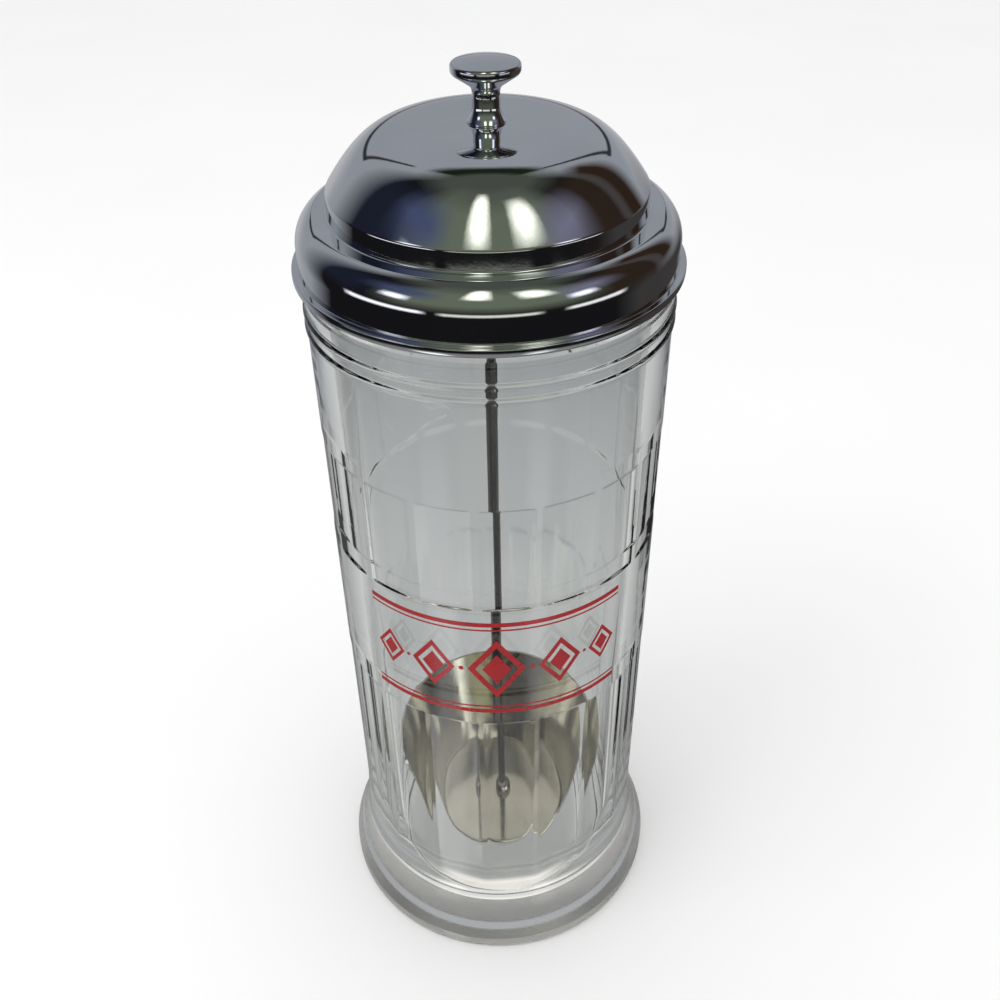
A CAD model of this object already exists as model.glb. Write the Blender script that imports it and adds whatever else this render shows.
import math
import bpy
from mathutils import Matrix, Vector


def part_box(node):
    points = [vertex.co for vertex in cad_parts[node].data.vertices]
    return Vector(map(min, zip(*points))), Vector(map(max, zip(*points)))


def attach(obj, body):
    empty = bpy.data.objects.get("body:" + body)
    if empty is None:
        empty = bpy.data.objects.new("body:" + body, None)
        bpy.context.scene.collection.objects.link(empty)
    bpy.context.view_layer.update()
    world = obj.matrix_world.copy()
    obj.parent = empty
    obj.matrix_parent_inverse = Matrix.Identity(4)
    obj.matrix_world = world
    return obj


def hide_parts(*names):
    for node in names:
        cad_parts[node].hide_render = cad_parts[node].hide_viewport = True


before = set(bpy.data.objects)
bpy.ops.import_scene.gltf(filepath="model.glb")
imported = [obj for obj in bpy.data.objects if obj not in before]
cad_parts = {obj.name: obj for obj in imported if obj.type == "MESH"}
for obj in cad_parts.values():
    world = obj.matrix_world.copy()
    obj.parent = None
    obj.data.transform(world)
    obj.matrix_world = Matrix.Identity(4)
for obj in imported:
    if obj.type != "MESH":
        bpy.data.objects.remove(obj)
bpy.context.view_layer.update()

# Every size below is in millimetres, in the model's own frame: +Z up, the jar's axis at the origin.
MM = 0.001

# Glass jar
JAR_LOW, JAR_HIGH = (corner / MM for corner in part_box("glass_jar"))
JAR_HEIGHT = JAR_HIGH.z
FOOT_RADIUS = (JAR_HIGH.x - JAR_LOW.x) / 2
FOOT_HEIGHT = 5.0
FOOT_ROUND = 1.8
FOOT_LEAD = 2.5
STANDING_ROUND = 1.2
RECESS_RADIUS = 41.0
RECESS_DEPTH = 1.6
RECESS_SLOPE = 2.5
RECESS_ROUND = 1.0
FLARE_HEIGHT = 36.0
BODY_BOTTOM_RADIUS = 45.0
BODY_TOP_RADIUS = 45.7
FINISH_RADIUS = 44.9
FINISH_Z = JAR_HEIGHT - 16.15
FINISH_STEP = 1.5
FINISH_ROUND = 0.8
FINISH_LEAD = 1.2
LIP_DROP = 5.2
LIP_RADIUS = 8.0
RIDGE_RADIUS = 1.1
RIDGE_PROUD = 0.55
RIDGE_HEIGHTS = (FINISH_Z - 10.0, FINISH_Z - 6.2)
JAR_FLOOR = 9.5
INSIDE_FLOOR_RADIUS = 39.0
INSIDE_TOP_RADIUS = 40.6
INSIDE_FLOOR_ROUND = 8.0
INSIDE_ROWS = 24
RIM_LAND = 0.65
RIM_ROUND = 0.3
PANEL_COUNT = 18
PANEL_TURN = -86.0
PANEL_DEPTH = 0.36
PANEL_SOFTNESS_FRONT = 0.7
PANEL_SOFTNESS_BACK = 3.0
PANEL_EDGE = math.radians(9.0)
PANEL_CROWN = 3
PANEL_FADE = (26.0, 44.0)
UPPER_BAND = (146.2, 178.0)
LOWER_BAND = (13.0, 103.3)

# Rows of vertices up the jar's wall, and columns over one panel in tenths of its half width
FLARE_LEAD = 3
FLARE_ROWS = 40
BODY_ROW_STEP = 4
BODY_ROWS = 47
EDGE_ROWS = (0, 0.1, 0.2, 0.3, 0.4, 0.6, 0.8, 1.1, 1.5)
PANEL_COLUMNS = (
    -10, -9.6, -9.2, -8.8, -8.4, -8, -7.6, -7.2, -6, -4, -2, 0, 2, 4, 6, 7.2, 7.6, 8, 8.4, 8.8, 9.2, 9.6
)

# Lid shell
LID_SHEET = 0.7
SKIRT_RADIUS = 46.1
SKIRT_DEPTH = 14.4
SHOULDER_RADIUS = 7.6
SHOULDER_RISE = 0.6
CREASE_RADIUS = 38.2
CREASE_ROUND = 0.6
CREASE_Z = JAR_HEIGHT + LID_SHEET
STEP_RADIUS = 37.9
STEP_Z = CREASE_Z + 4.95
STEP_ROUND = 1.3
DOME_Z = CREASE_Z + 19.15
DOME_SIDE_REACH = 15.0
DOME_SIDE_LEAN = 9.9
DOME_TOP_REACH = 23.8
DOME_FLAT_RADIUS = 5.6
SHOULDER_FOOT_ROUND = 2.0
HEM_PROUD = 1.6
HEM_HEIGHT = 2.5
HEM_CREASE_ROUND = 0.25
HEM_TOP_ROUND = 0.4
HEM_BOTTOM_ROUND = 1.2

# Knob, rod and domed nut
KNOB_BASE_RADIUS = 4.5
KNOB_BASE_HEIGHT = 0.4
KNOB_BASE_ROUND = 0.3
KNOB_SEAT_ROUND = 0.15
KNOB_NECK_RADIUS = 3.2
KNOB_NECK_BOTTOM = 3.8
KNOB_THROAT_HEIGHT = 7.7
KNOB_THROAT_ROUND = 2.0
KNOB_CAP_RADIUS = 7.95
KNOB_CAP_HEIGHT = 10.9
KNOB_EDGE = 2.0
KNOB_EDGE_ROUND = 1.2
KNOB_CROWN = 0.9
KNOB_BORE_DEPTH = 8.5
ROD_RADIUS = 1.6
ROD_POINT = 0.4
ROD_END = 6
HOLE_RADIUS = 1.65
NUT_COLLAR_HEIGHT = 1.2
NUT_BEVEL = 0.15

# Straw holder
HOLDER_SHEET = 0.8
HOLDER_FLOOR_RADIUS = 22.5
HOLDER_FLANGE = 3.0
HOLDER_RIM_RADIUS = 33.5
HOLDER_OPENING = 130.0
HOLDER_CORNER = 7.0
HOLDER_GAP = 0.05
WALL_COLUMNS = 180
WALL_ROWS = 24
WALL_CROWDING = 0.35
HOLDER_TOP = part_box("holder_floor")[1].z / MM
HOLDER_WALL_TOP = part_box("holder_wall")[1].z / MM
WALL_LEAN = (HOLDER_RIM_RADIUS - HOLDER_FLOOR_RADIUS) / (HOLDER_WALL_TOP - HOLDER_TOP)


def line_of(start, end, steps=1):
    """Points from start up to, but not including, end."""
    return [
        (start[0] + (end[0] - start[0]) * k / steps, start[1] + (end[1] - start[1]) * k / steps)
        for k in range(steps)
    ]


def arc_of(centre, radius, start, end, steps):
    """Points of an arc in degrees, both ends included."""
    turn = [math.radians(start + (end - start) * k / steps) for k in range(steps + 1)]
    return [(centre[0] + radius * math.cos(a), centre[1] + radius * math.sin(a)) for a in turn]


def tangent_arc(start, direction, end, steps):
    """Points of the arc that leaves start along direction and ends at end."""
    start, end, direction = Vector(start), Vector(end), Vector(direction).normalized()
    chord = end - start
    side = Vector((-direction.y, direction.x))
    if side.dot(chord) < 0:
        side = -side
    radius = chord.length_squared / (2 * side.dot(chord))
    centre = start + side * radius
    first, last = start - centre, end - centre
    sweep = math.atan2(first.x * last.y - first.y * last.x, first.dot(last))
    points = []
    for k in range(steps + 1):
        point = Matrix.Rotation(sweep * k / steps, 2) @ first
        points.append((centre.x + point.x, centre.y + point.y))
    return points


def rounded(points, radii, steps=5):
    """An open outline whose inner corners are rounded, each by its own radius."""
    made = [points[0]]
    for before, corner, after, radius in zip(points, points[1:], points[2:], radii):
        here = Vector(corner)
        back = (Vector(before) - here).normalized()
        ahead = (Vector(after) - here).normalized()
        half = back.angle(ahead) / 2
        reach = min(radius / math.tan(half), (Vector(before) - here).length * 0.49,
                    (Vector(after) - here).length * 0.49)
        if radius == 0 or half > math.radians(88):
            made.append(corner)
            continue
        made += [tuple(p) for p in tangent_arc(here + back * reach, -back, here + ahead * reach, steps)]
    return made + [points[-1]]


def bezier(start, lead, trail, end, steps):
    """Points of a cubic curve, both ends included."""
    curve = []
    for k in range(steps + 1):
        t = k / steps
        weights = ((1 - t) ** 3, 3 * t * (1 - t) ** 2, 3 * t * t * (1 - t), t**3)
        curve.append(tuple(
            sum(w * p[i] for w, p in zip(weights, (start, lead, trail, end))) for i in (0, 1)
        ))
    return curve


def piece(name, vertices, faces, body, material, replaced=()):
    """A smooth mesh made of points in millimetres, riding on a body."""
    mesh = bpy.data.meshes.new(name)
    mesh.from_pydata([tuple(c * MM for c in v) for v in vertices], [], faces)
    mesh.polygons.foreach_set("use_smooth", [True] * len(mesh.polygons))
    mesh.validate()
    mesh.update()
    made = bpy.data.objects.new(name, mesh)
    bpy.context.scene.collection.objects.link(made)
    made.data.materials.append(material)
    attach(made, body)
    if replaced:
        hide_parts(*replaced)
    return made


def even_columns(count):
    """Evenly spread angles round the axis."""
    return [2 * math.pi * k / count for k in range(count)]


def turned(profile, angles, shape=None, closed=False):
    """Vertices and faces of a profile turned round the axis. A point on the axis makes one vertex.

    shape gives the radius of a profile point at an angle; closed joins the profile's ends.
    """
    shape = shape or (lambda index, radius, height, angle: radius)
    vertices, rings, faces = [], [], []
    for index, (radius, height) in enumerate(profile):
        if radius < 1e-6:
            rings.append([len(vertices)] * len(angles))
            vertices.append((0, 0, height))
            continue
        rings.append(list(range(len(vertices), len(vertices) + len(angles))))
        for angle in angles:
            reach = shape(index, radius, height, angle)
            vertices.append((reach * math.cos(angle), reach * math.sin(angle), height))
    pairs = list(zip(rings, rings[1:]))
    if closed:
        pairs.append((rings[-1], rings[0]))
    for low, high in pairs:
        for k in range(len(angles)):
            n = (k + 1) % len(angles)
            face = (low[k], low[n], high[n], high[k])
            corners = tuple(dict.fromkeys(face))
            if len(corners) > 2:
                faces.append(corners)
    return vertices, faces


def sharpen(made, degrees=40):
    """Marks the edges that bend more than an angle as sharp."""
    made.data.set_sharp_from_angle(angle=math.radians(degrees))
    return made


# Materials: the glass is worn to this roughness below these heights, in metres
GLASS_WORN = 0.3
GLASS_WORN_HEIGHTS = (0.0017, 0.0025)


def new_material(name):
    """A node material, its node tree and its shader."""
    material = bpy.data.materials.new(name)
    material.use_nodes = True
    tree = material.node_tree
    return material, tree, tree.nodes["Principled BSDF"]


def noise(tree, scale, detail=3.0, stretch=(1, 1, 1), distortion=0.0):
    """A noise texture in the object's own coordinates, in features per metre."""
    place = tree.nodes.new("ShaderNodeTexCoord")
    mapping = tree.nodes.new("ShaderNodeMapping")
    mapping.inputs["Scale"].default_value = stretch
    texture = tree.nodes.new("ShaderNodeTexNoise")
    texture.inputs["Scale"].default_value = scale
    texture.inputs["Detail"].default_value = detail
    texture.inputs["Distortion"].default_value = distortion
    tree.links.new(place.outputs["Object"], mapping.inputs["Vector"])
    tree.links.new(mapping.outputs["Vector"], texture.inputs["Vector"])
    return texture.outputs["Fac"]


def ranged(tree, value, low, high, start=0.3, end=0.7):
    """Maps a value's start to end onto low to high."""
    node = tree.nodes.new("ShaderNodeMapRange")
    for socket, number in (("From Min", start), ("From Max", end), ("To Min", low), ("To Max", high)):
        node.inputs[socket].default_value = number
    tree.links.new(value, node.inputs["Value"])
    return node.outputs["Result"]


def mixed(tree, factor, first, second):
    """A colour between two colours, by a factor."""
    node = tree.nodes.new("ShaderNodeMix")
    node.data_type = "RGBA"
    node.inputs["A"].default_value = (*first, 1)
    node.inputs["B"].default_value = (*second, 1)
    tree.links.new(factor, node.inputs["Factor"])
    return node.outputs["Result"]


def computed(tree, operation, *values):
    """A maths node on up to three values or sockets."""
    node = tree.nodes.new("ShaderNodeMath")
    node.operation = operation
    for socket, value in zip(node.inputs, values):
        if isinstance(value, (int, float)):
            socket.default_value = value
        else:
            tree.links.new(value, socket)
    return node.outputs["Value"]


def bumped(tree, height, shader, distance, strength=1.0):
    """Drives the shader's normal by a height."""
    node = tree.nodes.new("ShaderNodeBump")
    node.inputs["Distance"].default_value = distance
    node.inputs["Strength"].default_value = strength
    tree.links.new(height, node.inputs["Height"])
    tree.links.new(node.outputs["Normal"], shader.inputs["Normal"])


def metal(name, light, dark, smooth, rough, grain_scale, grain_stretch, grain_depth):
    """Metal with smudges in its gloss and a fine grain."""
    material, tree, shader = new_material(name)
    shader.inputs["Metallic"].default_value = 1.0
    smudge = noise(tree, 45, 4)
    tree.links.new(mixed(tree, ranged(tree, smudge, 0, 1), light, dark), shader.inputs["Base Color"])
    tree.links.new(ranged(tree, noise(tree, 110, 5), smooth, rough), shader.inputs["Roughness"])
    bumped(tree, noise(tree, grain_scale, 2, grain_stretch), shader, grain_depth)
    return material


def clear_glass():
    """Pressed glass: clear, slightly grey, with faint waves and a ground, worn underside."""
    material, tree, shader = new_material("pressed_glass")
    shader.inputs["Transmission Weight"].default_value = 1.0
    shader.inputs["IOR"].default_value = 1.5
    tint = ranged(tree, noise(tree, 14, 2, (1, 1, 0.4)), 0, 1)
    tree.links.new(mixed(tree, tint, (0.93, 0.945, 0.94), (0.95, 0.96, 0.955)), shader.inputs["Base Color"])
    place = tree.nodes.new("ShaderNodeTexCoord")
    parts = tree.nodes.new("ShaderNodeSeparateXYZ")
    tree.links.new(place.outputs["Object"], parts.inputs["Vector"])
    worn = ranged(tree, parts.outputs["Z"], GLASS_WORN, 0, *GLASS_WORN_HEIGHTS)
    gloss = ranged(tree, noise(tree, 60, 4), 0.0, 0.012)
    tree.links.new(computed(tree, "MAXIMUM", worn, gloss), shader.inputs["Roughness"])
    bumped(tree, noise(tree, 42, 1.5, (1, 1, 0.3), 0.4), shader, 0.00022)
    return material


def enamel(name, colour, worn):
    """Fired enamel print, with a slight unevenness in its red."""
    material, tree, shader = new_material(name)
    patch = ranged(tree, noise(tree, 160, 4), 0, 1)
    tree.links.new(mixed(tree, patch, colour, worn), shader.inputs["Base Color"])
    tree.links.new(ranged(tree, noise(tree, 300, 3), 0.22, 0.38), shader.inputs["Roughness"])
    bumped(tree, noise(tree, 900, 2), shader, 0.00003)
    return material


CHROME = metal(
    "polished_chrome", (0.78, 0.79, 0.81), (0.7, 0.71, 0.73), 0.015, 0.06, 900, (1, 1, 1), 0.000004
)
ROD_CHROME = metal(
    "rod_chrome", (0.13, 0.13, 0.125), (0.06, 0.06, 0.06), 0.05, 0.14, 600, (1, 1, 6), 0.00001
)
HOLDER_STEEL = metal(
    "holder_steel", (0.7, 0.68, 0.61), (0.6, 0.58, 0.51), 0.1, 0.2, 500, (1, 1, 0.08), 0.00002
)
FASTENER_STEEL = metal(
    "fastener_steel", (0.5, 0.49, 0.46), (0.38, 0.37, 0.35), 0.14, 0.3, 700, (1, 1, 1), 0.00002
)
GLASS = clear_glass()
RED_ENAMEL = enamel("red_enamel", (0.36, 0.012, 0.016), (0.29, 0.009, 0.013))


# Glass jar


def body_radius(height):
    """Outer radius of the tapered body."""
    share = (height - FLARE_HEIGHT) / (FINISH_Z - FLARE_HEIGHT)
    return BODY_BOTTOM_RADIUS + (BODY_TOP_RADIUS - BODY_BOTTOM_RADIUS) * share


def arc_reach(start_radius, end_radius, end_height, height):
    """Radius at a height on an arc that leaves the flare's top straight down."""
    spread, drop = end_radius - start_radius, FLARE_HEIGHT - end_height
    arc = (spread**2 + drop**2) / (2 * spread)
    return start_radius + arc - math.sqrt(max(arc**2 - (FLARE_HEIGHT - height) ** 2, 0))


def outside_radius(height):
    """Outer radius of the jar below its finish, without ridges and panels."""
    if height >= FLARE_HEIGHT:
        return body_radius(height)
    return arc_reach(BODY_BOTTOM_RADIUS, FOOT_RADIUS, FOOT_HEIGHT, height)


def smooth_step(value):
    """0 to 1, eased at both ends."""
    t = min(max(value, 0), 1)
    return t * t * (3 - 2 * t)


def band_share(height, angle):
    """1 inside a band of panels, 0 outside, eased over its edges, which are crisper in front."""
    behind = (1 + math.sin(angle)) / 2
    softness = PANEL_SOFTNESS_FRONT + (PANEL_SOFTNESS_BACK - PANEL_SOFTNESS_FRONT) * behind
    share = 0
    for low, high in (UPPER_BAND, LOWER_BAND):
        rise = smooth_step((height - low) / softness + 0.5) if low > LOWER_BAND[0] else height > low
        share = max(share, rise * smooth_step((high - height) / softness + 0.5))
    return share


HALF_PANEL = math.pi / PANEL_COUNT


def panelled(radius, height, angle):
    """Outer radius with the panels pressed in. Each is slightly crowned, and they fade out over the flare."""
    share = band_share(height, angle)
    if share == 0:
        return radius
    share *= smooth_step((height - PANEL_FADE[0]) / (PANEL_FADE[1] - PANEL_FADE[0]))
    off = (angle - math.radians(PANEL_TURN) + HALF_PANEL) % (2 * HALF_PANEL) - HALF_PANEL
    across = min(abs(off) / PANEL_EDGE, 1)
    return radius - share * PANEL_DEPTH * (1 - across**PANEL_CROWN)


def jar_outside():
    """Outer profile of the jar, from the middle of its underside up to the rim's land."""
    under = rounded(
        [(0, RECESS_DEPTH), (RECESS_RADIUS - RECESS_SLOPE, RECESS_DEPTH), (RECESS_RADIUS, 0),
         (FOOT_RADIUS, 0), (FOOT_RADIUS, FOOT_HEIGHT),
         (outside_radius(FOOT_HEIGHT + FOOT_LEAD), FOOT_HEIGHT + FOOT_LEAD)],
        (RECESS_ROUND, STANDING_ROUND, FOOT_ROUND, FOOT_ROUND), 8,
    )
    heights = {FOOT_HEIGHT + FLARE_LEAD + k for k in range(FLARE_ROWS)}
    heights |= {FLARE_HEIGHT + BODY_ROW_STEP * k for k in range(BODY_ROWS)}
    for edge in (*UPPER_BAND, LOWER_BAND[1]):
        heights |= {edge + side * off for off in EDGE_ROWS for side in (-1, 1)}
    for ridge in RIDGE_HEIGHTS:
        heights |= {ridge + RIDGE_RADIUS * k / 6 for k in range(-8, 9)}
    wall = []
    for height in sorted(h for h in heights if h < FINISH_Z - FINISH_LEAD):
        radius = outside_radius(height)
        for ridge in RIDGE_HEIGHTS:
            off = height - ridge
            if abs(off) < RIDGE_RADIUS:
                crest = radius + RIDGE_PROUD - RIDGE_RADIUS + math.sqrt(RIDGE_RADIUS**2 - off**2)
                radius = max(radius, crest)
        wall.append((radius, height))
    finish_top = JAR_HEIGHT - LIP_DROP
    lip_end = (INSIDE_TOP_RADIUS + RIM_LAND, JAR_HEIGHT)
    finish = rounded(
        [(body_radius(FINISH_Z - FINISH_LEAD), FINISH_Z - FINISH_LEAD), (BODY_TOP_RADIUS, FINISH_Z),
         (FINISH_RADIUS, FINISH_Z + FINISH_STEP), (FINISH_RADIUS, finish_top)],
        (FINISH_ROUND, FINISH_ROUND), 5,
    )
    chord = Vector(lip_end) - Vector((FINISH_RADIUS, finish_top))
    lean = math.atan2(chord.y, chord.x) - math.asin(chord.length / 2 / LIP_RADIUS)
    lip = tangent_arc((FINISH_RADIUS, finish_top), (math.cos(lean), math.sin(lean)), lip_end, 10)
    return under, wall, finish[:-1] + lip


def make_jar():
    """The pressed glass jar, with its panels."""
    under, wall, finish = jar_outside()
    rim_steps = 10
    inside = rounded(
        [finish[-1], (INSIDE_TOP_RADIUS, JAR_HEIGHT), (INSIDE_FLOOR_RADIUS, JAR_FLOOR), (0, JAR_FLOOR)],
        (RIM_ROUND, INSIDE_FLOOR_ROUND), rim_steps,
    )[1:]
    top, foot = inside[rim_steps], inside[rim_steps + 1]
    tall = inside[:rim_steps + 1] + line_of(top, foot, INSIDE_ROWS)[1:] + inside[rim_steps + 1:]
    profile = under[:-1] + wall + finish + tall
    first, last = len(under) - 1, len(under) - 1 + len(wall)

    def shape(index, radius, height, angle):
        return panelled(radius, height, angle) if first <= index < last else radius

    angles = [
        math.radians(PANEL_TURN) + 2 * HALF_PANEL * k + HALF_PANEL * column / 10
        for k in range(PANEL_COUNT) for column in PANEL_COLUMNS
    ]
    vertices, faces = turned(profile, angles, shape)
    return piece("glass_jar_pressed", vertices, faces, "jar", GLASS, ("glass_jar",))


# Enamel print: a row of lozenges between two pairs of pinstripes, each a thin closed shell on the glass
ENAMEL_PROUD = 0.06
ENAMEL_SUNK = 0.02
PRINT_MIDDLE = 125.0
PRINT_REACH = 46.0
PINSTRIPES = ((16.2, 0.7), (14.3, 0.25))
LOZENGE_HALF_WIDTH = 7.8
LOZENGE_HALF_HEIGHT = 10.8
LOZENGE_SIZES = (1.0, 0.78, 0.58)
LOZENGE_GAP = 4.0
LOZENGE_RING = 0.26
LOZENGE_CORE = 0.5
DOT_RADIUS = 0.9
PRINT_STEPS = 8
BAR, LOZENGE, DOT = range(3)


def printed(vertices, faces, rows):
    """Adds a thin closed shell of enamel. rows holds rows of (length round the jar, height) points."""
    start = len(vertices)
    width = len(rows[0])
    for lift in (-ENAMEL_SUNK, ENAMEL_PROUD):
        for row in rows:
            for along, height in row:
                radius = body_radius(height) + lift
                angle = along / body_radius(PRINT_MIDDLE) - math.pi / 2
                vertices.append((radius * math.cos(angle), radius * math.sin(angle), height))
    top = len(rows) * width

    def at(row, column, layer):
        return start + layer * top + row * width + column

    last_row, last_column = len(rows) - 1, width - 1
    for r in range(last_row):
        for c in range(last_column):
            square = [(r, c), (r, c + 1), (r + 1, c + 1), (r + 1, c)]
            faces.append(tuple(at(*p, 1) for p in square))
            faces.append(tuple(at(*p, 0) for p in reversed(square)))
    rim = [(0, c) for c in range(last_column)] + [(r, last_column) for r in range(last_row)]
    rim += [(last_row, c) for c in range(last_column, 0, -1)] + [(r, 0) for r in range(last_row, 0, -1)]
    for p, q in zip(rim, rim[1:] + rim[:1]):
        faces.append((at(*p, 0), at(*q, 0), at(*q, 1), at(*p, 1)))


def printed_ring(vertices, faces, along, outer, inner):
    """Adds a lozenge-shaped ring of enamel, outer and inner being its half width and half height."""
    start = len(vertices)
    corners = [(1, 0), (0, 1), (-1, 0), (0, -1)]
    steps = PRINT_STEPS
    loop = []
    for (x0, z0), (x1, z1) in zip(corners, corners[1:] + corners[:1]):
        loop += [(x0 + (x1 - x0) * k / steps, z0 + (z1 - z0) * k / steps) for k in range(steps)]
    for (half_width, half_height), lift in (
        (outer, ENAMEL_PROUD), (inner, ENAMEL_PROUD), (inner, -ENAMEL_SUNK), (outer, -ENAMEL_SUNK)
    ):
        for x, z in loop:
            height = PRINT_MIDDLE + half_height * z
            radius = body_radius(height) + lift
            angle = (along + half_width * x) / body_radius(PRINT_MIDDLE) - math.pi / 2
            vertices.append((radius * math.cos(angle), radius * math.sin(angle), height))
    count = len(loop)
    for side in range(4):
        for k in range(count):
            n = (k + 1) % count
            low, high = start + side * count, start + (side + 1) % 4 * count
            faces.append((low + k, high + k, high + n, low + n))


def patch_rows(along, half_width, half_height, row_count, form):
    """Rows of points over a bar, a lozenge or a dot, whose tips are cut off a little."""
    rows = []
    for r in range(row_count + 1):
        z = -1 + 2 * r / row_count
        if form == LOZENGE:
            reach = max(1 - abs(z), 0.02)
        elif form == DOT:
            z = math.sin(z * math.pi / 2)
            reach = max(math.sqrt(max(1 - z * z, 0)), 0.05)
        else:
            reach = 1
        steps = max(int(half_width * reach), 1) if form == BAR else PRINT_STEPS
        rows.append([
            (along + half_width * reach * (-1 + 2 * k / steps), PRINT_MIDDLE + half_height * z)
            for k in range(steps + 1)
        ])
    return rows


def make_print():
    """The red enamel print on the jar's plain band."""
    vertices, faces = [], []
    reach = math.radians(PRINT_REACH) * body_radius(PRINT_MIDDLE)
    for offset, half in PINSTRIPES:
        for side in (-1, 1):
            bar = patch_rows(0, reach, half, 2, BAR)
            printed(vertices, faces, [[(x, z + side * offset) for x, z in row] for row in bar])
    middle = 0
    for index, size in enumerate(LOZENGE_SIZES):
        wide, tall = LOZENGE_HALF_WIDTH * size, LOZENGE_HALF_HEIGHT * size
        if index:
            gap = LOZENGE_GAP * (size + LOZENGE_SIZES[index - 1]) / 2
            middle += gap / 2
            dot = DOT_RADIUS * size
            for side in (-1, 1):
                printed(vertices, faces, patch_rows(side * middle, dot, dot, 10, DOT))
            middle += gap / 2 + wide
        for side in (-1, 1) if index else (1,):
            inner = (wide * (1 - LOZENGE_RING), tall * (1 - LOZENGE_RING))
            printed_ring(vertices, faces, side * middle, (wide, tall), inner)
            core = (wide * LOZENGE_CORE, tall * LOZENGE_CORE)
            printed(vertices, faces, patch_rows(side * middle, *core, 12, LOZENGE))
        middle += wide
    return sharpen(piece("enamel_print", vertices, faces, "jar", RED_ENAMEL))


# Lid


def lid_outline(inset):
    """Half outline of the lid, from the dome's flat top down to the skirt, moved inwards."""
    centre = (SKIRT_RADIUS - SHOULDER_RADIUS, CREASE_Z + SHOULDER_RISE - SHOULDER_RADIUS)
    arc = SHOULDER_RADIUS - inset
    crease = (CREASE_RADIUS - inset, CREASE_Z - inset)
    rise = math.degrees(math.asin((crease[1] - centre[1]) / arc))
    step_turn = math.atan2(DOME_SIDE_LEAN, DOME_SIDE_REACH)
    step = (STEP_RADIUS - inset, STEP_Z - inset * math.tan(step_turn / 2))
    dome = bezier(
        (DOME_FLAT_RADIUS, DOME_Z - inset),
        (DOME_TOP_REACH, DOME_Z - inset),
        (step[0] - DOME_SIDE_LEAN, step[1] + DOME_SIDE_REACH),
        step,
        70,
    )
    shoulder = arc_of(centre, arc, rise, 0, 24)
    keep = [p for p in dome if math.dist(p, step) > STEP_ROUND]
    radii = (STEP_ROUND - inset, CREASE_ROUND + inset, SHOULDER_FOOT_ROUND)
    lower = rounded([keep[-1], step, crease, shoulder[0], shoulder[1]], radii, 10)
    return line_of((HOLE_RADIUS, DOME_Z - inset), dome[0], 4) + keep[:-1] + lower[:-1] + shoulder[1:]


def make_lid():
    """The pressed lid with its rolled hem."""
    edge_z = JAR_HEIGHT - SKIRT_DEPTH
    hem_radius, hem_top = SKIRT_RADIUS + HEM_PROUD, edge_z + HEM_HEIGHT
    outside, inside = lid_outline(0), lid_outline(LID_SHEET)
    hem = rounded(
        [outside[-1], (SKIRT_RADIUS, hem_top), (hem_radius, hem_top), (hem_radius, edge_z),
         (SKIRT_RADIUS - LID_SHEET, edge_z), inside[-1]],
        (HEM_CREASE_ROUND, HEM_TOP_ROUND, HEM_BOTTOM_ROUND, HEM_CREASE_ROUND), 8,
    )
    profile = outside[:-1] + hem[:-1] + inside[::-1]
    vertices, faces = turned(profile, even_columns(256), closed=True)
    lid = piece("lid_dome", vertices, faces, "lifter", CHROME, ("lid_shell",))
    return sharpen(lid, 50)


def make_knob():
    """The turned knob."""
    neck = (KNOB_NECK_RADIUS, DOME_Z + KNOB_NECK_BOTTOM)
    lower = tangent_arc(neck, (0, -1), (KNOB_BASE_RADIUS, DOME_Z + KNOB_BASE_HEIGHT), 16)
    edge_z = DOME_Z + KNOB_CAP_HEIGHT + KNOB_EDGE
    crown = tangent_arc((0, edge_z + KNOB_CROWN), (1, 0), (KNOB_CAP_RADIUS, edge_z), 24)
    keep = [p for p in crown if p[0] < KNOB_CAP_RADIUS - KNOB_EDGE_ROUND]
    upper = rounded(
        [neck, (KNOB_NECK_RADIUS, DOME_Z + KNOB_THROAT_HEIGHT), (KNOB_CAP_RADIUS, DOME_Z + KNOB_CAP_HEIGHT),
         (KNOB_CAP_RADIUS, edge_z), keep[-1]],
        (KNOB_THROAT_ROUND, KNOB_EDGE_ROUND, KNOB_EDGE_ROUND), 12,
    )
    foot = rounded(
        [lower[-2], lower[-1], (KNOB_BASE_RADIUS, DOME_Z), (HOLE_RADIUS, DOME_Z)],
        (KNOB_BASE_ROUND, KNOB_SEAT_ROUND), 4,
    )
    bore_top = DOME_Z + KNOB_BORE_DEPTH
    bore = [(0, bore_top), (HOLE_RADIUS, bore_top), (HOLE_RADIUS, DOME_Z)]
    profile = bore[:-1] + foot[::-1] + lower[::-1][2:-1] + upper[:-1] + keep[::-1]
    vertices, faces = turned(profile, even_columns(96))
    knob = piece("knob_turned", vertices, faces, "lifter", CHROME, ("knob",))
    return sharpen(knob, 50)


def make_rod():
    """The lift rod."""
    low, high = (corner.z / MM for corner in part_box("lift_rod"))
    profile = [(0, low), (ROD_RADIUS - ROD_POINT, low), (ROD_RADIUS, low + ROD_POINT)]
    profile += line_of((ROD_RADIUS, low + ROD_END), (ROD_RADIUS, high - ROD_END), 12)
    profile += [(ROD_RADIUS, high - ROD_POINT), (ROD_RADIUS - ROD_POINT, high), (0, high)]
    vertices, faces = turned(profile, even_columns(48))
    rod = piece("lift_rod_bright", vertices, faces, "lifter", ROD_CHROME, ("lift_rod",))
    return sharpen(rod)


# Straw holder


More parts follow.
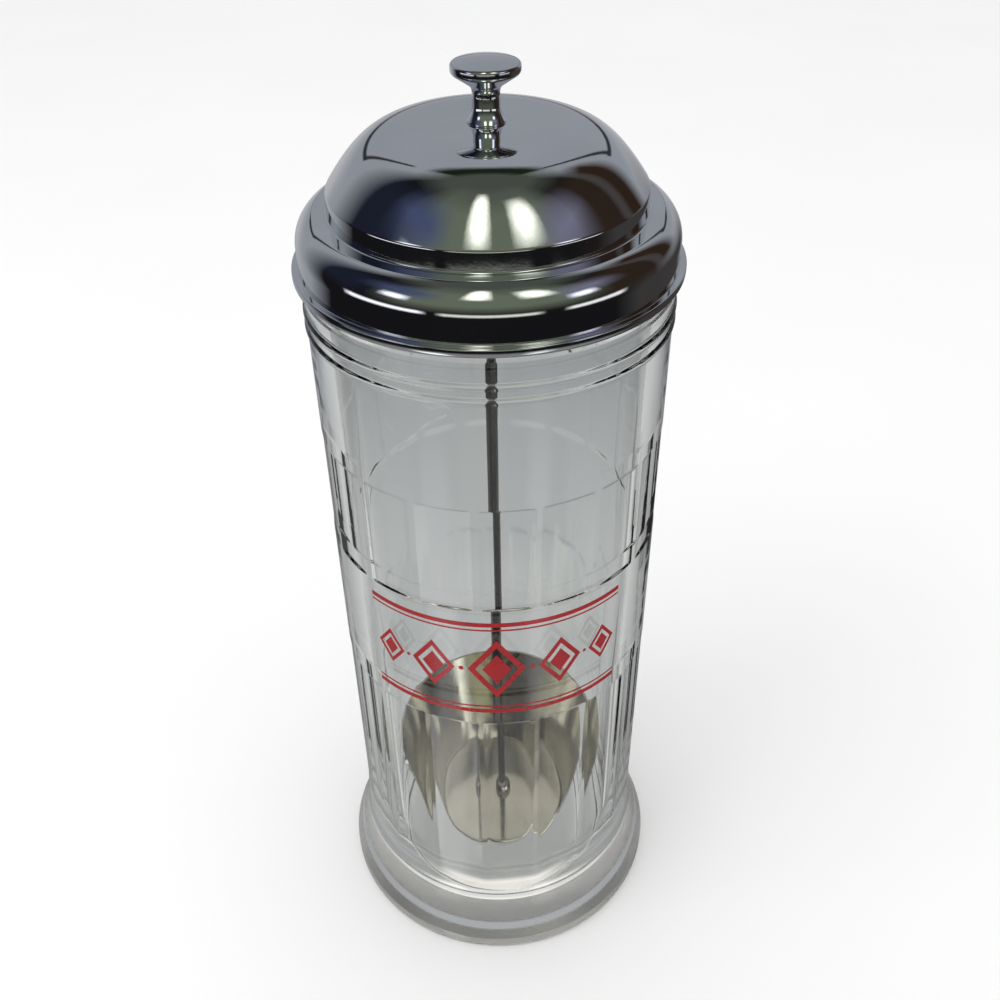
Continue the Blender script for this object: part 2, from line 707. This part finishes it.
def make_holder_floor():
    """The holder's pressed floor, whose edge turns down."""
    low = HOLDER_TOP - HOLDER_FLANGE
    foot = HOLDER_FLOOR_RADIUS - WALL_LEAN * HOLDER_FLANGE
    under = HOLDER_TOP - HOLDER_SHEET
    outside = rounded(
        [(HOLE_RADIUS, HOLDER_TOP), (HOLDER_FLOOR_RADIUS, HOLDER_TOP), (foot, low)], (HOLDER_SHEET,), 6
    )
    inside = [(foot - HOLDER_SHEET, low), (HOLDER_FLOOR_RADIUS - HOLDER_SHEET, under), (HOLE_RADIUS, under)]
    vertices, faces = turned(outside + inside, even_columns(160), closed=True)
    floor = piece(
        "holder_floor_disc", vertices, faces, "lifter", HOLDER_STEEL, ("holder_floor",)
    )
    return sharpen(floor, 50)


def make_holder_wall():
    """The holder's flared wall, open at the front, with rounded upper corners."""
    low = HOLDER_TOP - HOLDER_FLANGE
    start = math.radians(HOLDER_OPENING / 2 - 90)
    sweep = math.radians(360 - HOLDER_OPENING)
    columns, rows = WALL_COLUMNS, WALL_ROWS
    vertices, faces = [], []
    for layer in (0, HOLDER_SHEET):
        for k in range(columns + 1):
            share = k / columns
            share = (1 - math.cos(math.pi * share)) / 2 * WALL_CROWDING + share * (1 - WALL_CROWDING)
            angle = start + sweep * share
            from_end = min(share, 1 - share) * sweep * HOLDER_RIM_RADIUS
            notch = max(HOLDER_CORNER - from_end, 0)
            top = HOLDER_WALL_TOP - HOLDER_CORNER + math.sqrt(max(HOLDER_CORNER**2 - notch**2, 0))
            for r in range(rows + 1):
                height = low + (top - low) * r / rows
                radius = HOLDER_FLOOR_RADIUS + HOLDER_GAP + WALL_LEAN * (height - HOLDER_TOP) + layer
                vertices.append((radius * math.cos(angle), radius * math.sin(angle), height))
    side = (columns + 1) * (rows + 1)

    def at(layer, k, r):
        return layer * side + k * (rows + 1) + r

    for k in range(columns):
        for r in range(rows):
            faces.append((at(0, k, r), at(0, k, r + 1), at(0, k + 1, r + 1), at(0, k + 1, r)))
            faces.append((at(1, k, r), at(1, k + 1, r), at(1, k + 1, r + 1), at(1, k, r + 1)))
        faces.append((at(0, k, 0), at(0, k + 1, 0), at(1, k + 1, 0), at(1, k, 0)))
        faces.append((at(0, k, rows), at(1, k, rows), at(1, k + 1, rows), at(0, k + 1, rows)))
    for k in (0, columns):
        for r in range(rows):
            face = (at(0, k, r), at(1, k, r), at(1, k, r + 1), at(0, k, r + 1))
            faces.append(face if k == 0 else face[::-1])
    wall = piece(
        "holder_wall_sheet", vertices, faces, "lifter", HOLDER_STEEL, ("holder_wall",)
    )
    return sharpen(wall)


def make_floor_nut():
    """The domed nut on the holder's floor."""
    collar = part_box("floor_nut")[1].x / MM
    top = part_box("floor_nut")[1].z / MM
    dome = tangent_arc((collar, HOLDER_TOP + NUT_COLLAR_HEIGHT), (0, 1), (HOLE_RADIUS, top), 14)
    profile = [(collar - NUT_BEVEL, HOLDER_TOP), (collar, HOLDER_TOP + NUT_BEVEL)] + dome
    profile += [(HOLE_RADIUS, HOLDER_TOP)]
    vertices, faces = turned(profile, even_columns(64), closed=True)
    nut = piece(
        "floor_nut_domed", vertices, faces, "lifter", FASTENER_STEEL, ("floor_nut",)
    )
    return sharpen(nut, 50)


make_jar()
make_print()
make_lid()
make_knob()
make_rod()
make_holder_floor()
make_holder_wall()
make_floor_nut()
for node in ("lid_washer", "lid_nut", "clamp_washer", "clamp_nut"):
    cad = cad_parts[node]
    cad.data.materials.clear()
    cad.data.materials.append(FASTENER_STEEL)


# Stage: floor, light and camera


def make_floor():
    """A large pale floor."""
    material, tree, shader = new_material("pale_floor")
    tint = ranged(tree, noise(tree, 6, 3), 0, 1)
    tree.links.new(mixed(tree, tint, (0.96, 0.96, 0.96), (0.94, 0.94, 0.94)), shader.inputs["Base Color"])
    shader.inputs["Roughness"].default_value = 0.7
    bpy.ops.mesh.primitive_plane_add(size=8)
    floor = bpy.context.object
    floor.name = "floor"
    floor.visible_glossy = False
    floor.visible_transmission = False
    floor.data.materials.append(material)


# What polished surfaces mirror of the studio: soft patches, each with the azimuth of its middle (0 in
# front, at -Y, and 90 at +X), half its width, the elevation of its middle, half its height, how far its
# edges fade and how far it rises per degree of azimuth, in degrees, and its brightness in red, green and
# blue. A patch at 180 is the same on both sides. Later rows cover earlier ones.
STUDIO = (
    ("brown_right", 100, 34, 22, 34, 10, 0, (0.03, 0.02, 0.014)),
    ("navy_left", -100, 24, 26, 24, 10, 0, (0.014, 0.017, 0.03)),
    ("back_wall", 180, 62, 20, 60, 12, 0, (0.33, 0.35, 0.385)),
    ("zenith", 0, 200, 90, 26, 8, 0, (0.075, 0.085, 0.07)),
    ("ceiling_shade", 180, 42, 67, 6, 3, 0, (0.012, 0.02, 0.01)),
    ("front_wall", 0, 62, 38, 30, 13, 0, (0.15, 0.175, 0.13)),
    ("window_left", -60, 20, 43, 10, 10, 0, (0.07, 0.09, 0.18)),
    ("window_right", 64, 17, 38, 10, 10, 0, (0.2, 0.2, 0.28)),
    ("brown_side", 121, 9, 24, 26, 5, 0, (0.034, 0.02, 0.013)),
    ("frame_left_low", -160, 21, 11, 1.7, 0.8, 0.5, (0.035, 0.035, 0.045)),
    ("frame_left_high", -141, 1.8, 36, 16, 1, 0, (0.035, 0.035, 0.045)),
    ("frame_right_low", 160, 21, 11, 1.7, 0.8, -0.5, (0.035, 0.035, 0.045)),
    ("frame_right_high", 142, 1.8, 40, 20, 1, 0, (0.035, 0.035, 0.045)),
    ("tube_left", -9, 7, 57, 13, 5, 0, (2.4, 2.5, 2.1)),
    ("tube_right", 33, 9, 52, 9, 6, 0, (2.2, 2.3, 1.95)),
    ("lamp_left", -58, 7, 25, 5, 4, 0, (1.9, 1.95, 2.2)),
    ("lamp_right", 56, 7, 24, 5, 4, 0, (1.7, 1.7, 2.0)),
    ("table_edge_left", -62, 24, -9, 3.5, 3, 0, (1.6, 1.6, 1.7)),
    ("table_edge_front", 0, 28, -9, 3.5, 3, 0, (0.9, 0.95, 0.8)),
    ("table_edge_right", 62, 18, -9, 3.5, 3, 0, (1.2, 1.2, 1.2)),
    ("back_floor", 180, 40, -10, 12, 8, 0, (0.5, 0.51, 0.53)),
    ("table_top", 0, 200, -62, 30, 2, 0, (0.24, 0.245, 0.24)),
    ("table_shade_right", 122, 34, -50, 44, 10, 0, (0.05, 0.047, 0.045)),
    ("table_paper_left", -38, 9, -48, 12, 4, 0, (1.5, 1.5, 1.5)),
    ("table_paper_right", 30, 7, -44, 10, 4, 0, (1.2, 1.2, 1.2)),
)
STUDIO_DARK = (0.009, 0.009, 0.01)
# The same for what the straw holder and the rod mirror, which is seen through both faces of the glass
INNER = (
    ("inner_ceiling", 0, 200, 70, 24, 6, 0, (0.6, 0.575, 0.51)),
    ("inner_walls", 0, 200, -62, 27, 5, 0, (0.5, 0.505, 0.5)),
    ("inner_dark_front", 0, 70, -38, 12, 5, 0, (0.05, 0.045, 0.04)),
    ("inner_wood", 13, 20, -20, 16, 5, 0, (0.4, 0.4, 0.24)),
    ("inner_window_right", 64, 26, -6, 22, 6, 0, (2.0, 2.0, 1.85)),
    ("inner_window_front", 15, 16, 15, 14, 5, 0, (1.5, 1.5, 1.4)),
    ("inner_beige", 158, 16, 28, 14, 5, 0, (0.25, 0.24, 0.19)),
)
INNER_DARK = (0.035, 0.03, 0.026)
# The same for what is seen straight through the glass or mirrored inside its wall
THROUGH = (
    ("through_high", 0, 200, -19, 17, 7, 0, (0.6, 0.61, 0.615)),
    ("through_high_back", 180, 32, -19, 17, 7, 0, (0.34, 0.35, 0.365)),
    ("through_up", 0, 200, 50, 46, 8, 0, (1.0, 0.96, 0.9)),
    ("through_sides", 0, 128, -60, 34, 10, 0, (0.78, 0.785, 0.76)),
    ("through_floor", 180, 70, -60, 9, 3, 0, (0.34, 0.35, 0.34)),
    ("through_below", 0, 200, -90, 21, 4, 0, (1.15, 1.1, 1.03)),
    ("through_streak_left", -112, 4, -50, 30, 3, 0, (0.36, 0.36, 0.35)),
    ("through_streak_right", 112, 4, -50, 30, 3, 0, (0.32, 0.32, 0.31)),
)
THROUGH_GREY = (0.5, 0.51, 0.51)


def surroundings(tree, turn, rise, patches, dark):
    """A background made of a table of soft patches on a dark ground."""
    colour = None
    for name, azimuth, half_width, elevation, half_height, fade, lean, shade in patches:
        angle = computed(tree, "ABSOLUTE", turn) if azimuth == 180 else turn
        off = computed(tree, "SUBTRACT", angle, azimuth)
        across = computed(tree, "ABSOLUTE", off)
        middle = computed(tree, "MULTIPLY_ADD", off, lean, elevation)
        upright = computed(tree, "ABSOLUTE", computed(tree, "SUBTRACT", rise, middle))
        inside = computed(
            tree, "MULTIPLY",
            ranged(tree, across, 1, 0, half_width - fade, half_width + fade),
            ranged(tree, upright, 1, 0, half_height - fade, half_height + fade),
        )
        layer = tree.nodes.new("ShaderNodeMix")
        layer.name = name
        layer.data_type = "RGBA"
        layer.inputs["A"].default_value = (*dark, 1)
        layer.inputs["B"].default_value = (*shade, 1)
        tree.links.new(inside, layer.inputs["Factor"])
        if colour:
            tree.links.new(colour, layer.inputs["A"])
        colour = layer.outputs["Result"]
    background = tree.nodes.new("ShaderNodeBackground")
    tree.links.new(colour, background.inputs["Color"])
    return background


def choose(tree, factor, first, second):
    """One of two backgrounds, by a factor of 0 or 1."""
    node = tree.nodes.new("ShaderNodeMixShader")
    tree.links.new(factor, node.inputs[0])
    tree.links.new(first.outputs[0], node.inputs[1])
    tree.links.new(second.outputs[0], node.inputs[2])
    return node


def make_world():
    """White surroundings, but a dim studio with soft patches for what is mirrored or seen through glass."""
    world = bpy.data.worlds.new("studio")
    bpy.context.scene.world = world
    world.use_nodes = True
    world.cycles.sampling_method = "NONE"
    tree = world.node_tree
    white = tree.nodes["Background"]
    white.inputs["Color"].default_value = (1, 1, 1, 1)
    place = tree.nodes.new("ShaderNodeTexCoord")
    parts = tree.nodes.new("ShaderNodeSeparateXYZ")
    tree.links.new(place.outputs["Generated"], parts.inputs["Vector"])
    ahead = computed(tree, "MULTIPLY", parts.outputs["Y"], -1)
    turn = computed(tree, "DEGREES", computed(tree, "ARCTAN2", parts.outputs["X"], ahead))
    rise = computed(tree, "DEGREES", computed(tree, "ARCSINE", parts.outputs["Z"]))
    mirrored = surroundings(tree, turn, rise, STUDIO, STUDIO_DARK)
    within = surroundings(tree, turn, rise, INNER, INNER_DARK)
    through = surroundings(tree, turn, rise, THROUGH, THROUGH_GREY)
    path = tree.nodes.new("ShaderNodeLightPath")
    behind_glass = computed(tree, "GREATER_THAN", path.outputs["Transmission Depth"], 2.5)
    reflected = computed(tree, "GREATER_THAN", path.outputs["Glossy Depth"], 0.5)
    clear = choose(tree, path.outputs["Is Transmission Ray"], white, through)
    in_glass = computed(tree, "GREATER_THAN", path.outputs["Transmission Depth"], 0.5)
    mirror = choose(tree, behind_glass, choose(tree, in_glass, mirrored, through), within)
    final = choose(tree, reflected, clear, mirror)
    tree.links.new(final.outputs[0], tree.nodes["World Output"].inputs["Surface"])


KEY_PLACE = (-500, -300, 900)
KEY_TARGET = (0, 0, 150)
KEY_SIZE = 500
KEY_POWER = 2


def make_key():
    """A square soft light, which shows neither in the chrome nor through the glass."""
    data = bpy.data.lights.new("key", "AREA")
    data.shape = "SQUARE"
    data.size = KEY_SIZE * MM
    data.energy = KEY_POWER
    light = bpy.data.objects.new("key", data)
    bpy.context.scene.collection.objects.link(light)
    light.location = Vector(KEY_PLACE) * MM
    light.rotation_euler = (Vector(KEY_TARGET) - Vector(KEY_PLACE)).to_track_quat("-Z", "Y").to_euler()
    light.visible_glossy = False
    light.visible_transmission = False


# Distance and height in millimetres; the lens is Blender's, for its standard sensor
CAMERA_DISTANCE = 248.9
CAMERA_HEIGHT = 337.6
CAMERA_PITCH = math.radians(37.474)
CAMERA_YAW = math.radians(0.415)
CAMERA_ROLL = math.radians(-0.836)
CAMERA_LENS = 39.56


def make_camera():
    """The photograph's viewpoint."""
    data = bpy.data.cameras.new("camera")
    data.lens = CAMERA_LENS
    data.clip_start, data.clip_end = 0.01, 20
    camera = bpy.data.objects.new("camera", data)
    bpy.context.scene.collection.objects.link(camera)
    ahead = Vector((
        math.sin(CAMERA_YAW) * math.cos(CAMERA_PITCH),
        math.cos(CAMERA_YAW) * math.cos(CAMERA_PITCH),
        -math.sin(CAMERA_PITCH),
    ))
    level = Vector((math.cos(CAMERA_YAW), -math.sin(CAMERA_YAW), 0))
    upright = level.cross(ahead)
    right = level * math.cos(CAMERA_ROLL) + upright * math.sin(CAMERA_ROLL)
    up = upright * math.cos(CAMERA_ROLL) - level * math.sin(CAMERA_ROLL)
    turn = Matrix((right, up, -ahead)).transposed()
    place = Vector((0, -CAMERA_DISTANCE, CAMERA_HEIGHT)) * MM
    camera.matrix_world = Matrix.Translation(place) @ turn.to_4x4()
    bpy.context.scene.camera = camera


make_floor()
make_world()
make_key()
make_camera()

scene = bpy.context.scene
scene.view_settings.view_transform = "Standard"
scene.cycles.max_bounces = 24
scene.cycles.transmission_bounces = 20
scene.cycles.glossy_bounces = 10
scene.cycles.caustics_refractive = True
scene.cycles.caustics_reflective = True
